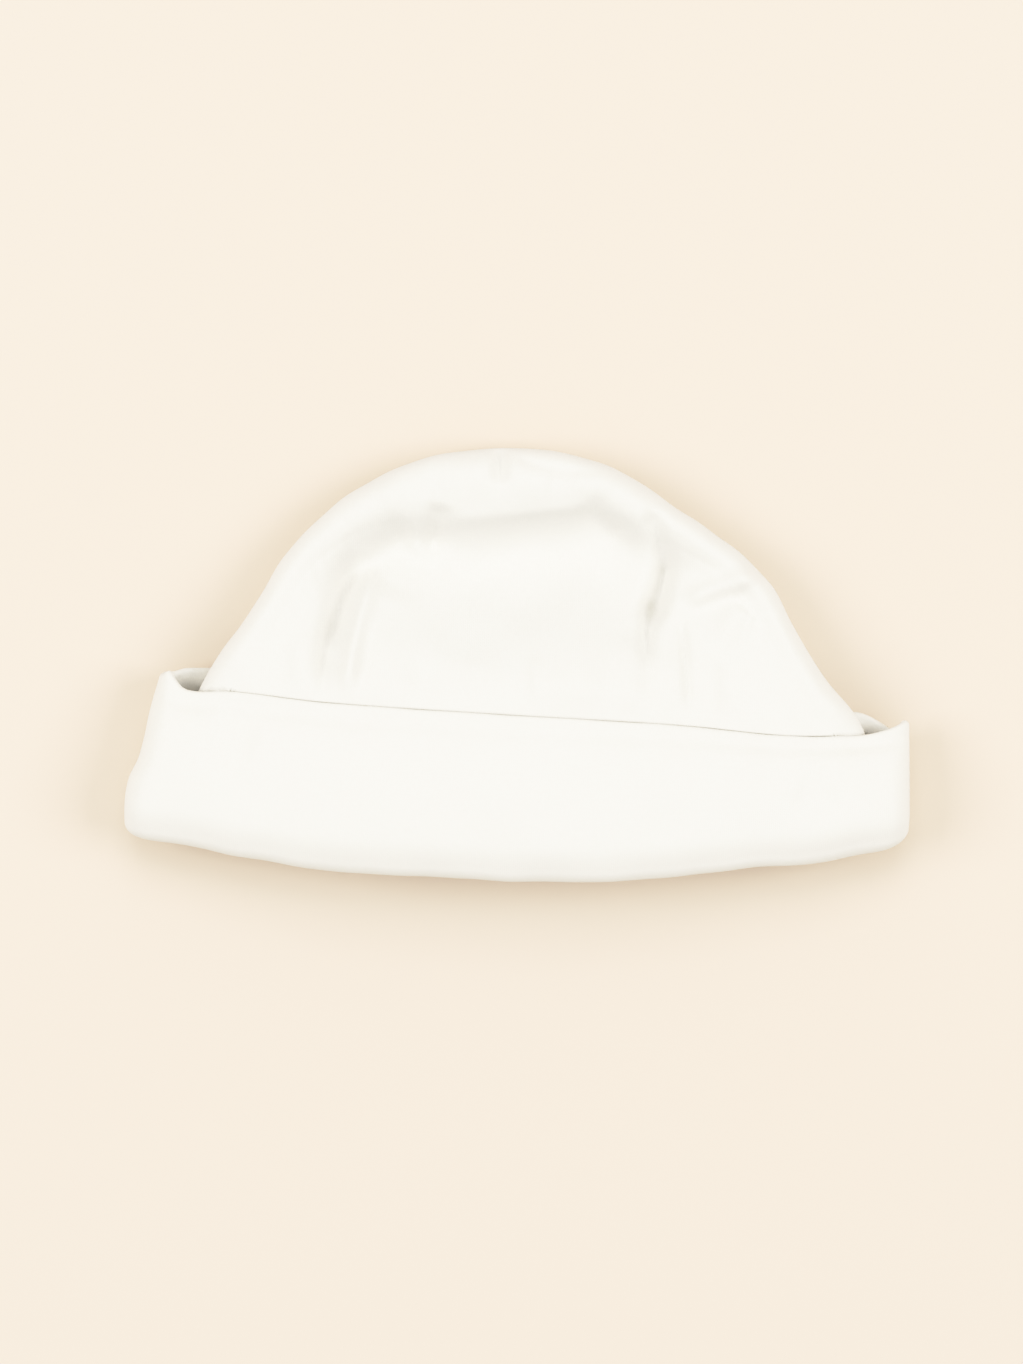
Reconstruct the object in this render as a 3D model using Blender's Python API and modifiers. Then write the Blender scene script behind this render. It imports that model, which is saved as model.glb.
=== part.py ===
"""A baby's cotton nightcap with a turned-up brim, lying flat on its back as it is laid out on a table.

Three pieces make it up. A front and a back panel of jersey are sewn together round the dome, with
their seam allowance turned inwards. A band of doubled jersey laps the panels' lower edge from
outside, runs down to the mouth, folds over and turns up over the crown. The mouth faces -Y, the
crown's top +Y and the front +Z.
"""

import math

import bpy
import numpy as np

# Overall sizes of the cap as it lies, in metres
CAP_WIDTH = 0.170
CAP_LENGTH = 0.0937
CAP_THICKNESS = 0.025

# Cloth and how it is put together
JERSEY_WALL = 0.0014
BAND_WALL = 0.0020
BAND_FOLD_GAP = 0.0008
PIECE_GAP = 0.0003
LAP_SLACK = 0.0002
SEAM_ALLOWANCE = 0.0045
SEAM_CURL = 0.0017

# Heights of the side seam above the table
SEAM_HEIGHT_TOP = 0.0062
SEAM_HEIGHT_FOOT = 0.0095

# How far the back of the turn-up lies above its front, along the cap
RIM_BACK_RISE = 0.0038
FOLD_BACK_RISE = 0.0030

# Rounding of the edges, seen from above
CROWN_ROLL = 0.0058
BACK_ROLL = 0.0050
BAND_END_ROLL = 0.0060

# The band's inner leg stops short of the rim, and the panels' lower edge lies inside it
INNER_LEG_BELOW_RIM = 0.0050
CROWN_EDGE_BELOW_RIM = 0.0110
RISE_FROM_LAP = (-0.0020, 0.0060)
BACK_LIFT = (0.0120, -0.0010)

# Shares of the seam's length over which it levels off into the lower edge, and sinks to its height
# at the top
SEAM_LEVELS = 0.12
SEAM_SINKS = 0.30
# Shares of the lower edge between which the rays from the seam end
RAYS_END = (0.22, 0.78)
# The crown's sunk height at its sides and middle, as shares of the cap's thickness, and the length
# over which it sinks from the rim, as a share of the cap's length
SUNK_SIDE = 0.48
SUNK_MIDDLE = 0.62
SINK_REACH = 0.42
# The ridge falls between these shares of its width, and the hollow lies this share of the cap's
# length past it, with a short reach towards the seam and a long one towards the turn-up
RIDGE_FALLS = (0.60, 1.10)
HOLLOW_PAST = 0.025
HOLLOW_REACH_SEAM = 0.035
HOLLOW_REACH_RIM = 0.160
# How fast a fold fades beyond its ends, beside how fast it fades across
FOLD_END_FADE = 0.5

# Grid counts
SEAM_STEPS = 54
CURL_STEPS = 3
ROLL_STEPS = 4
FRONT_STEPS = 12
BACK_STEPS = 6
BAND_SIDE_STEPS = 26
BAND_END_STEPS = 4
BAND_FOLD_STEPS = 4

HALF_WIDTH = CAP_WIDTH / 2
HALF_LENGTH = CAP_LENGTH / 2
BAND_STACK = 2 * BAND_WALL + BAND_FOLD_GAP

# The crown's seam seen from above, from the left foot over the top to the right foot.
# Columns: x as a share of half the width, y as a share of half the length.
SEAM_LINE = [
    (-0.864, -0.357),
    (-0.805, -0.107),
    (-0.748, 0.069),
    (-0.705, 0.167),
    (-0.655, 0.312),
    (-0.595, 0.493),
    (-0.500, 0.674),
    (-0.390, 0.819),
    (-0.216, 0.959),
    (0.000, 1.000),
    (0.175, 0.959),
    (0.362, 0.749),
    (0.548, 0.537),
    (0.645, 0.373),
    (0.698, 0.189),
    (0.787, -0.075),
    (0.868, -0.258),
    (0.921, -0.559),
]

# The turn-up's rim and its fold on the front, seen from above.
# Columns: x as a share of half the width, y as a share of half the length.
RIM_LINE = [
    (-1.00, -0.124),
    (-0.82, -0.124),
    (-0.49, -0.174),
    (-0.05, -0.229),
    (0.44, -0.285),
    (0.70, -0.328),
    (1.00, -0.323),
]
FOLD_LINE = [
    (-1.00, -0.806),
    (-0.86, -0.831),
    (-0.72, -0.879),
    (-0.52, -0.940),
    (-0.19, -0.978),
    (0.10, -1.000),
    (0.30, -0.991),
    (0.58, -0.940),
    (0.82, -0.901),
    (1.00, -0.831),
]

# The turn-up from its fold to its rim.
# Columns: share of the turn-up's height, left and right reach of its outside, left and right reach
# of its inner leg (shares of half the width), top at the middle and top at the ends (shares of the
# cap's thickness).
TURN_UP_SECTIONS = [
    (0.00, 1.000, 0.998, 0.944, 0.942, 0.945, 0.660),
    (0.12, 1.000, 1.000, 0.944, 0.942, 0.985, 0.690),
    (0.25, 0.996, 1.000, 0.935, 0.941, 1.000, 0.700),
    (0.36, 0.987, 1.000, 0.920, 0.940, 0.998, 0.700),
    (0.48, 0.967, 1.000, 0.902, 0.939, 0.990, 0.700),
    (0.65, 0.950, 1.000, 0.880, 0.937, 0.970, 0.690),
    (0.85, 0.934, 1.000, 0.852, 0.924, 0.935, 0.675),
    (1.00, 0.924, 1.000, 0.840, 0.910, 0.905, 0.660),
]

# The puffed ridge over the seam allowance and the hollow beside it.
# Columns: place along the seam from left to right, ridge width as a share of the cap's length,
# ridge height and hollow depth as shares of the cap's thickness.
SEAM_RIDGE = [
    (0.00, 0.055, 0.00, 0.00),
    (0.12, 0.058, 0.02, 0.00),
    (0.22, 0.062, 0.04, 0.02),
    (0.31, 0.070, 0.06, 0.06),
    (0.38, 0.090, 0.06, 0.09),
    (0.42, 0.115, 0.06, 0.11),
    (0.46, 0.132, 0.06, 0.12),
    (0.52, 0.138, 0.06, 0.12),
    (0.56, 0.120, 0.06, 0.11),
    (0.61, 0.088, 0.06, 0.09),
    (0.67, 0.072, 0.06, 0.06),
    (0.76, 0.062, 0.05, 0.02),
    (0.88, 0.058, 0.03, 0.00),
    (1.00, 0.055, 0.00, 0.00),
]

# Folds of the crown's front, seen from above, each along a straight line.
# Columns: x and y of the upper end, x and y of the lower end (shares of half the width and half the
# length), half breadth as a share of the cap's length, height as a share of its thickness.
CROWN_FOLDS = [
    (-0.435, 0.433, -0.480, -0.084, 0.024, -0.060),
    (-0.375, 0.433, -0.435, -0.084, 0.028, 0.050),
    (0.367, 0.518, 0.340, 0.097, 0.028, -0.065),
    (0.590, 0.327, 0.405, 0.212, 0.026, -0.036),
    (0.570, 0.242, 0.470, 0.167, 0.030, 0.026),
    (-0.209, 0.719, -0.209, 0.578, 0.022, -0.035),
    (0.085, 0.347, 0.075, -0.144, 0.090, 0.036),
    (-0.120, 0.337, -0.150, -0.104, 0.080, -0.024),
    (0.418, 0.155, 0.438, -0.080, 0.020, -0.024),
    (-0.620, 0.077, -0.580, -0.044, 0.040, 0.020),
]

# Soft dents and swellings of the turn-up's front, in the same columns as the crown's folds.
TURN_UP_DENTS = [
    (-0.740, -0.315, -0.660, -0.385, 0.060, -0.028),
    (0.700, -0.585, 0.820, -0.626, 0.045, -0.024),
    (-0.330, -0.585, 0.100, -0.626, 0.090, 0.014),
    (0.300, -0.746, 0.480, -0.726, 0.050, -0.012),
]

# Colours as the material's linear values, and how the cloth takes light
JERSEY_WHITE = (0.86, 0.84, 0.80, 1.0)
BAND_WHITE = (0.88, 0.86, 0.82, 1.0)
CLOTH_ROUGHNESS = 0.95


def through(stations, values, at):
    """A smooth curve through a table's rows: each span is a cubic, and its end slopes are the
    weighted means of the chords on either side."""
    stations = np.asarray(stations, float)
    values = np.asarray(values, float)
    steps = np.diff(stations)
    chords = np.diff(values) / steps
    chords = np.concatenate([chords[:1], chords, chords[-1:]])
    weights = np.concatenate([steps[:1], steps, steps[-1:]])
    slopes = (chords[:-1] * weights[1:] + chords[1:] * weights[:-1]) / (weights[1:] + weights[:-1])
    at = np.clip(at, stations[0], stations[-1])
    span = np.clip(np.searchsorted(stations, at) - 1, 0, len(steps) - 1)
    share = (at - stations[span]) / steps[span]
    rest = 1 - share
    start = (1 + 2 * share) * values[span] + share * steps[span] * slopes[span]
    end = (1 + 2 * rest) * values[span + 1] - rest * steps[span] * slopes[span + 1]
    return rest**2 * start + share**2 * end


def column(table, number):
    """One column of a table."""
    return [row[number] for row in table]


def smoothstep(value):
    """0 below 0, 1 above 1, and an S-shaped rise between."""
    value = np.clip(value, 0.0, 1.0)
    return value * value * (3 - 2 * value)


def mix(first, second, share):
    """The value that lies this share of the way from the first to the second."""
    return first + (second - first) * share


def line_across(table, x):
    """The y of a line of the plan, such as the rim, at each x."""
    return HALF_LENGTH * through(column(table, 0), column(table, 1), x / HALF_WIDTH)


def section_value(number, height):
    """One column of the turn-up's sections at a share of its height."""
    return through(column(TURN_UP_SECTIONS, 0), column(TURN_UP_SECTIONS, number), height)


def turn_up_top(x, height):
    """Height of the turn-up's outside above the table: a gentle dome from end to end."""
    middle = CAP_THICKNESS * section_value(5, height)
    ends = CAP_THICKNESS * section_value(6, height)
    return mix(ends, middle, np.clip(1 - (x / HALF_WIDTH) ** 2, 0, 1))


def turn_up_height(x, y):
    """The share of the turn-up's height at a place on its front, 0 at the fold and 1 at the rim."""
    rim = line_across(RIM_LINE, x)
    fold = line_across(FOLD_LINE, x) + BAND_STACK / 2
    return np.clip((y - fold) / (rim - fold), 0, 1)


def seam_path():
    """Evenly spaced points of the crown's seam in plan, the inward direction at each, and the share
    of the seam's length up to it. The first and last directions run along the lower edge."""
    corners = np.array(SEAM_LINE) * (HALF_WIDTH, HALF_LENGTH)
    reach = np.concatenate([[0], np.cumsum(np.linalg.norm(np.diff(corners, axis=0), axis=1))])
    fine = np.linspace(0, reach[-1], 20 * SEAM_STEPS + 1)
    curve = np.stack([through(reach, corners[:, axis], fine) for axis in (0, 1)], axis=1)
    length = np.concatenate([[0], np.cumsum(np.linalg.norm(np.diff(curve, axis=0), axis=1))])
    share = np.linspace(0, 1, SEAM_STEPS + 1)
    path = np.stack([np.interp(share, length / length[-1], curve[:, axis]) for axis in (0, 1)], axis=1)
    along = np.gradient(path, axis=0)
    across = np.stack([along[:, 1], -along[:, 0]], axis=1)
    across /= np.linalg.norm(across, axis=1)[:, None]
    lower_edge = path[-1] - path[0]
    lower_edge /= np.linalg.norm(lower_edge)
    level = np.where(share[:, None] < 0.5, lower_edge, -lower_edge)
    inward = mix(level, across, smoothstep(np.minimum(share, 1 - share) / SEAM_LEVELS)[:, None])
    inward /= np.linalg.norm(inward, axis=1)[:, None]
    return path, inward, share


def fold_relief(table, x, y):
    """The sum of a table's folds: each is a bell across its line that fades beyond its ends."""
    relief = np.zeros_like(x)
    for upper_x, upper_y, lower_x, lower_y, breadth, height in table:
        start = np.array((upper_x * HALF_WIDTH, upper_y * HALF_LENGTH))
        end = np.array((lower_x * HALF_WIDTH, lower_y * HALF_LENGTH))
        length = np.linalg.norm(end - start)
        direction = (end - start) / length
        along = (x - start[0]) * direction[0] + (y - start[1]) * direction[1]
        across = (x - start[0]) * direction[1] - (y - start[1]) * direction[0]
        beyond = along - np.clip(along, 0, length)
        spread = across**2 + FOLD_END_FADE * beyond**2
        bell = np.exp(-spread / (2 * (breadth * CAP_LENGTH) ** 2))
        relief += height * CAP_THICKNESS * bell
    return relief


def ridge_relief(share, distance):
    """The puffed seam ridge and the hollow beside it, from the distance in from the seam."""
    places = column(SEAM_RIDGE, 0)
    width = CAP_LENGTH * through(places, column(SEAM_RIDGE, 1), share)
    height = CAP_THICKNESS * through(places, column(SEAM_RIDGE, 2), share)
    depth = CAP_THICKNESS * through(places, column(SEAM_RIDGE, 3), share)
    falls = (distance / width - RIDGE_FALLS[0]) / (RIDGE_FALLS[1] - RIDGE_FALLS[0])
    ridge = height * (1 - smoothstep(falls))
    hollow_centre = width + HOLLOW_PAST * CAP_LENGTH
    toward_seam = distance < hollow_centre
    hollow_reach = CAP_LENGTH * np.where(toward_seam, HOLLOW_REACH_SEAM, HOLLOW_REACH_RIM)
    return ridge - depth * np.exp(-(((distance - hollow_centre) / hollow_reach) ** 2))


def crown_top(x, y, share, distance):
    """Height of the front panel's outside: under the turn-up it follows the inner leg, beyond the
    rim it swells up and then sinks towards the crown's top."""
    beyond = y - line_across(RIM_LINE, x)
    band = turn_up_top(x, turn_up_height(x, y)) + fold_relief(TURN_UP_DENTS, x, y)
    lapped = band - BAND_STACK - PIECE_GAP - LAP_SLACK
    swelled = band - BAND_WALL - PIECE_GAP
    spread = np.clip(1 - (x / HALF_WIDTH) ** 2, 0, 1)
    sunk = CAP_THICKNESS * mix(SUNK_SIDE, SUNK_MIDDLE, spread)
    freed = smoothstep((beyond - RISE_FROM_LAP[0]) / (RISE_FROM_LAP[1] - RISE_FROM_LAP[0]))
    sinking = smoothstep(beyond / (SINK_REACH * CAP_LENGTH))
    height = mix(lapped, mix(swelled, sunk, sinking), freed)
    return height + freed * (ridge_relief(share, distance) + fold_relief(CROWN_FOLDS, x, y))


def crown_bottom(x, y):
    """Height of the back panel's outside: flat on the table, and lifted over the band behind it."""
    beyond = y - line_across(RIM_LINE, x) - RIM_BACK_RISE
    lift = smoothstep((beyond - BACK_LIFT[0]) / (BACK_LIFT[1] - BACK_LIFT[0]))
    return (BAND_STACK + PIECE_GAP + LAP_SLACK) * lift


def panel_points(steps, roll, back):
    """The outside of one crown panel, as rows from the tip of the seam allowance to the lower edge.

    Each column starts on the seam. The profile carried along it is the flat allowance, a quarter
    turn of curl, a quarter ellipse to the panel's height, and a run to the lower edge.
    """
    path, inward, share = seam_path()
    side = -1.0 if back else 1.0
    from_end = np.minimum(share, 1 - share)
    seam = mix(SEAM_HEIGHT_FOOT, SEAM_HEIGHT_TOP, smoothstep(from_end / SEAM_SINKS))
    seam = seam + side * PIECE_GAP / 2
    foot = mix(path[0], path[-1], mix(*RAYS_END, share)[:, None])
    rows = [(path + inward * (SEAM_CURL + SEAM_ALLOWANCE), seam)]
    for step in range(CURL_STEPS + 1):
        angle = math.pi / 2 * step / CURL_STEPS
        plan = path + inward * SEAM_CURL * (1 - math.sin(angle))
        rows.append((plan, seam + side * SEAM_CURL * (1 - math.cos(angle))))
    for step in range(1, ROLL_STEPS + steps + 1):
        angle = math.pi / 2 * min(step / ROLL_STEPS, 1.0)
        plan = path + inward * roll * (1 - math.cos(angle))
        plan = mix(plan, foot, max(step - ROLL_STEPS, 0) / steps)
        distance = np.linalg.norm(plan - path, axis=1)
        x, y = plan.T
        target = crown_bottom(x, y) if back else crown_top(x, y, share, distance)
        rows.append((plan, mix(seam + side * SEAM_CURL, target, math.sin(angle))))
    return np.array([np.column_stack(row) for row in rows])


def ring(left, right, top, bottom):
    """One ring of the band seen along the cap: x, z, and the share of the way from back to front.

    It starts at the right end, goes over the top to the left end and returns underneath. Each end
    is two quarter ellipses that meet at the seam's height.
    """
    angles = np.linspace(0, math.pi / 2, BAND_END_STEPS + 1)
    roll = BAND_END_ROLL * (1 - np.cos(angles))
    flat = np.linspace(right - BAND_END_ROLL, BAND_END_ROLL - left, BAND_SIDE_STEPS + 1)[1:-1]
    x = np.concatenate([right - roll, flat, roll[::-1] - left])
    lift = np.concatenate([np.sin(angles), np.ones_like(flat), np.sin(angles[::-1])])
    over = mix(SEAM_HEIGHT_FOOT, top(x), lift)
    under = mix(SEAM_HEIGHT_FOOT, bottom, lift)
    return (
        np.concatenate([x, x[-2:0:-1]]),
        np.concatenate([over, under[-2:0:-1]]),
        np.concatenate([0.5 + 0.5 * lift, 0.5 - 0.5 * lift[-2:0:-1]]),
    )


def band_points():
    """The band's outer side, as rings from its hidden edge down the inner leg, round the fold and
    up to the rim. An inner share of 1 is the inner leg, 0 the outside."""
    heights = column(TURN_UP_SECTIONS, 0)
    rings = []

    def add_ring(height, inner, drop=0.0, below_rim=0.0):
        left = HALF_WIDTH * mix(section_value(1, height), section_value(3, height), inner)
        right = HALF_WIDTH * mix(section_value(2, height), section_value(4, height), inner)
        inset = BAND_STACK * inner
        x, z, front = ring(left, right, lambda at: turn_up_top(at, height) - inset, inset)
        rim = line_across(RIM_LINE, x) + RIM_BACK_RISE * (1 - front) - below_rim
        fold = line_across(FOLD_LINE, x) + FOLD_BACK_RISE * (1 - front) + BAND_STACK / 2
        y = mix(fold, rim, height) - drop
        z += fold_relief(TURN_UP_DENTS, x, y) * smoothstep(2 * front - 1)
        rings.append(np.stack([x, y, z], axis=1))

    for height in heights[-2:0:-1]:
        add_ring(height, 1.0)
    for step in range(BAND_FOLD_STEPS + 1):
        angle = math.pi * step / BAND_FOLD_STEPS
        add_ring(0.0, (1 + math.cos(angle)) / 2, BAND_STACK / 2 * math.sin(angle))
    for height in heights[1:]:
        add_ring(height, 0.0)
    return np.array(rings)


def cloth_piece(name, points, closed, thickness, material):
    """A piece of cloth over a grid of points, which give its outer side: columns running towards -X
    and rows towards +Y face up. Closed joins the last column to the first."""
    rows, columns, _ = points.shape
    index = np.arange(rows * columns).reshape(rows, columns)
    if closed:
        index = np.concatenate([index, index[:, :1]], axis=1)
    faces = np.stack([index[:-1, 1:], index[:-1, :-1], index[1:, :-1], index[1:, 1:]], axis=-1)
    mesh = bpy.data.meshes.new(name)
    mesh.from_pydata(points.reshape(-1, 3).tolist(), [], faces.reshape(-1, 4).tolist())
    mesh.shade_smooth()
    mesh.materials.append(material)
    item = bpy.data.objects.new(name, mesh)
    wall = item.modifiers.new("cloth_thickness", "SOLIDIFY")
    wall.thickness = thickness
    wall.offset = -1
    wall.use_even_offset = True
    return item


def cloth_material(name, colour):
    """A matt cloth material of one colour."""
    material = bpy.data.materials.new(name)
    material.use_nodes = True
    shader = material.node_tree.nodes["Principled BSDF"]
    shader.inputs["Base Color"].default_value = colour
    shader.inputs["Roughness"].default_value = CLOTH_ROUGHNESS
    return material


def main():
    """Builds the two crown panels and the turned-up band."""
    for item in list(bpy.data.objects):
        bpy.data.objects.remove(item)
    collection = bpy.data.collections.new("nightcap")
    bpy.context.scene.collection.children.link(collection)
    jersey = cloth_material("cotton_jersey", JERSEY_WHITE)
    doubled = cloth_material("doubled_cotton_jersey", BAND_WHITE)
    front = panel_points(FRONT_STEPS, CROWN_ROLL, False)
    back = panel_points(BACK_STEPS, BACK_ROLL, True)[:, ::-1]
    collection.objects.link(cloth_piece("crown_front", front, False, JERSEY_WALL, jersey))
    collection.objects.link(cloth_piece("crown_back", back, False, JERSEY_WALL, jersey))
    collection.objects.link(cloth_piece("turn_up", band_points(), True, BAND_WALL, doubled))


main()
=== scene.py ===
"""The looks of a baby's cotton nightcap that lies flat on its back, seen from straight above.

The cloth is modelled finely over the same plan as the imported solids: two crown panels of jersey with
a turned-in seam, and a doubled band that turns up over the crown. X runs to the right along the
mouth, Y from the mouth to the top of the crown, Z up. Lengths are metres where no other unit is named.
"""

import math

import bpy
import numpy as np
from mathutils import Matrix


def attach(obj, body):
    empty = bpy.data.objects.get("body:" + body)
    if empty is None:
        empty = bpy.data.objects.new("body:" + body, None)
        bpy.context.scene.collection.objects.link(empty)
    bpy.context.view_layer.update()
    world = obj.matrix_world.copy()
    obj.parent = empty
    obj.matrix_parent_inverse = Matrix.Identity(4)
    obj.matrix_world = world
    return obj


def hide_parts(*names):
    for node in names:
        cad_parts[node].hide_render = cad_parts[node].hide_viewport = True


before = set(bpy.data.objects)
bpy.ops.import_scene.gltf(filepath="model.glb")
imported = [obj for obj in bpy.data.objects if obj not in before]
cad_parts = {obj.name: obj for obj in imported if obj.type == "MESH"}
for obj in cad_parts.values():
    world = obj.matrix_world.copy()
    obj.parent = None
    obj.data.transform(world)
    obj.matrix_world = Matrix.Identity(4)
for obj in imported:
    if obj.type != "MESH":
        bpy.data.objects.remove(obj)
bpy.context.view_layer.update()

# The whole cap
CAP_WIDTH = 0.170
CAP_LENGTH = 0.0937
CAP_THICKNESS = 0.025
HALF_WIDTH = CAP_WIDTH / 2
HALF_LENGTH = CAP_LENGTH / 2

# The cloth and the clearances between its pieces
JERSEY_WALL = 0.0014
BAND_WALL = 0.0020
BAND_FOLD_GAP = 0.0008
BAND_STACK = 2 * BAND_WALL + BAND_FOLD_GAP
PIECE_GAP = 0.0003
LAP_SLACK = 0.0002

# The crown's seam: its allowance, the curl into it, its height at the top and at its feet, and the
# shares of its length over which it comes down and over which its ends turn level
SEAM_ALLOWANCE = 0.0045
SEAM_CURL = 0.0017
SEAM_HEIGHT_TOP = 0.0062
SEAM_HEIGHT_FOOT = 0.0095
SEAM_SINKS = 0.30
SEAM_LEVELS = 0.12

# The panels: how far in their rounded edges reach, the part of the lower edge that the rays from the
# seam end on, the height that the front sinks to at the sides and in the middle (shares of the
# thickness), and the share of the length over which it sinks
CROWN_ROLL = 0.0062
BACK_ROLL = 0.0050
RAYS_END = (0.08, 0.92)
SUNK_SIDE = 0.48
SUNK_MIDDLE = 0.54
SINK_REACH = 0.42

# Stretches beyond the rim over which the front panel leaves the lap, its folds begin and the back
# panel comes down to the table
RISE_FROM_LAP = (-0.0050, -0.0010)
RIM_CALM = (-0.0005, 0.0080)
BACK_LIFT = (0.0120, -0.0010)

# The turn-up: how much further its back reaches at the rim and at the fold, the share of half the
# width where the rim's share fades, the round of its ends and how full it is outside and inside,
# and the share of its height that the inner leg has
RIM_BACK_RISE = 0.0048
RIM_BACK_FADE = (0.86, 1.0)
FOLD_BACK_RISE = 0.0030
BAND_END_ROLL = 0.0060
END_FULLNESS = (0.75, 1.0)
INNER_LEG_TOP = 0.85

# How far the front's fold droops, and over what distance
FOLD_DROOP = 0.0025
DROOP_REACH = 0.0080

# The lifted ends of the back rim: how high, from where on the left and on the right (shares of half
# the width), over what share of the rest, and between which shares of the turn-up's height
END_LIFT = 0.0052
END_LIFT_FROM = (0.69, 0.74)
END_LIFT_RUN = 0.5
END_LIFT_HEIGHTS = (0.84, 0.94)

# The front rim's tips rise with this power of the share of the turn-up's height
TIP_POWER = 6

# The crown's seam seen from above, from the left foot over the top to the right foot.
# Columns: x as a share of half the width, y as a share of half the length.
SEAM_LINE = [
    (-0.864, -0.357),
    (-0.805, -0.107),
    (-0.748, 0.069),
    (-0.705, 0.172),
    (-0.655, 0.312),
    (-0.595, 0.493),
    (-0.500, 0.682),
    (-0.390, 0.828),
    (-0.290, 0.920),
    (-0.190, 0.970),
    (-0.080, 0.995),
    (0.020, 0.998),
    (0.120, 0.976),
    (0.210, 0.930),
    (0.295, 0.862),
    (0.370, 0.768),
    (0.450, 0.668),
    (0.548, 0.545),
    (0.645, 0.373),
    (0.705, 0.172),
    (0.787, -0.075),
    (0.868, -0.258),
    (0.921, -0.559),
]

# The turn-up's rim on the front, how far its ends stand up beyond that line, and its fold on the
# front, in the same shares.
RIM_LINE = [
    (-1.000, -0.124),
    (-0.820, -0.119),
    (-0.775, -0.120),
    (-0.490, -0.174),
    (-0.050, -0.229),
    (0.440, -0.285),
    (0.700, -0.329),
    (0.884, -0.325),
    (1.000, -0.318),
]
RIM_TIPS = [
    (-1.000, 0.045),
    (-0.912, 0.047),
    (-0.900, 0.068),
    (-0.888, 0.082),
    (-0.875, 0.056),
    (-0.862, 0.028),
    (-0.848, 0.007),
    (-0.832, 0.000),
    (-0.740, 0.000),
    (0.720, 0.000),
    (0.800, 0.000),
    (0.900, 0.004),
    (0.970, 0.034),
    (1.000, 0.056),
]
FOLD_LINE = [
    (-1.00, -0.806),
    (-0.86, -0.831),
    (-0.72, -0.879),
    (-0.52, -0.940),
    (-0.19, -0.978),
    (0.10, -1.000),
    (0.30, -0.991),
    (0.58, -0.940),
    (0.82, -0.901),
    (1.00, -0.831),
]

# The turn-up from its fold to its rim.
# Columns: share of the turn-up's height, left and right reach of its outside, left and right reach
# of its inner leg (shares of half the width), top at the middle and top at the ends (shares of the
# cap's thickness).
TURN_UP_SECTIONS = [
    (0.00, 1.000, 0.998, 0.944, 0.942, 0.945, 0.660),
    (0.12, 1.000, 1.000, 0.944, 0.942, 0.985, 0.690),
    (0.25, 0.996, 1.000, 0.935, 0.941, 1.000, 0.700),
    (0.36, 0.987, 1.000, 0.920, 0.940, 1.000, 0.700),
    (0.48, 0.967, 1.000, 0.902, 0.939, 0.995, 0.690),
    (0.65, 0.950, 1.000, 0.880, 0.937, 0.975, 0.660),
    (0.85, 0.934, 1.000, 0.852, 0.924, 0.925, 0.590),
    (0.93, 0.924, 1.000, 0.843, 0.916, 0.880, 0.530),
    (1.00, 0.912, 1.000, 0.835, 0.910, 0.868, 0.515),
]

# The puffed ridge over the seam allowance and the hollow beside it.
# Columns: place along the seam from left to right, ridge width (share of the length), ridge height
# and hollow depth (shares of the thickness), how softly the ridge breaks into the hollow and how far
# the hollow falls (mm).
SEAM_RIDGE = [
    (0.00, 0.055, 0.00, 0.00, 1.4, 6.0),
    (0.12, 0.060, 0.02, 0.03, 1.3, 6.0),
    (0.22, 0.066, 0.04, 0.08, 1.1, 7.0),
    (0.31, 0.098, 0.05, 0.19, 0.9, 8.0),
    (0.36, 0.130, 0.06, 0.27, 0.7, 9.5),
    (0.40, 0.156, 0.07, 0.32, 0.5, 10.5),
    (0.45, 0.161, 0.08, 0.35, 0.3, 10.5),
    (0.50, 0.149, 0.09, 0.36, 0.2, 10.5),
    (0.53, 0.133, 0.09, 0.36, 0.2, 10.5),
    (0.56, 0.111, 0.08, 0.34, 0.3, 10.5),
    (0.60, 0.098, 0.07, 0.31, 0.4, 10.0),
    (0.64, 0.090, 0.06, 0.22, 0.5, 9.0),
    (0.70, 0.072, 0.05, 0.10, 0.8, 8.0),
    (0.78, 0.062, 0.04, 0.06, 1.1, 7.5),
    (0.88, 0.058, 0.02, 0.04, 1.3, 6.0),
    (1.00, 0.055, 0.00, 0.00, 1.4, 6.0),
]

# The hollow: the distance over which it fades towards the rim, the share of its depth that is a steep
# lip, and how fast that lip falls
HOLLOW_FADE = 0.028
LIP_SHARE = 0.40
LIP_FALL = 0.0026

# How the front panel comes up from under the rim.
# Columns: distance beyond the rim (mm), depth below the turn-up's top (mm).
RIM_TUCK = [
    (-3.00, 2.16),
    (-1.60, 2.16),
    (-1.00, 2.10),
    (-0.70, 1.98),
    (-0.40, 1.72),
    (-0.27, 1.48),
    (-0.20, 1.20),
    (-0.15, 0.85),
    (-0.08, 0.50),
    (0.10, 0.32),
    (0.50, 0.22),
    (1.00, 0.18),
    (3.00, 0.14),
]

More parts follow.
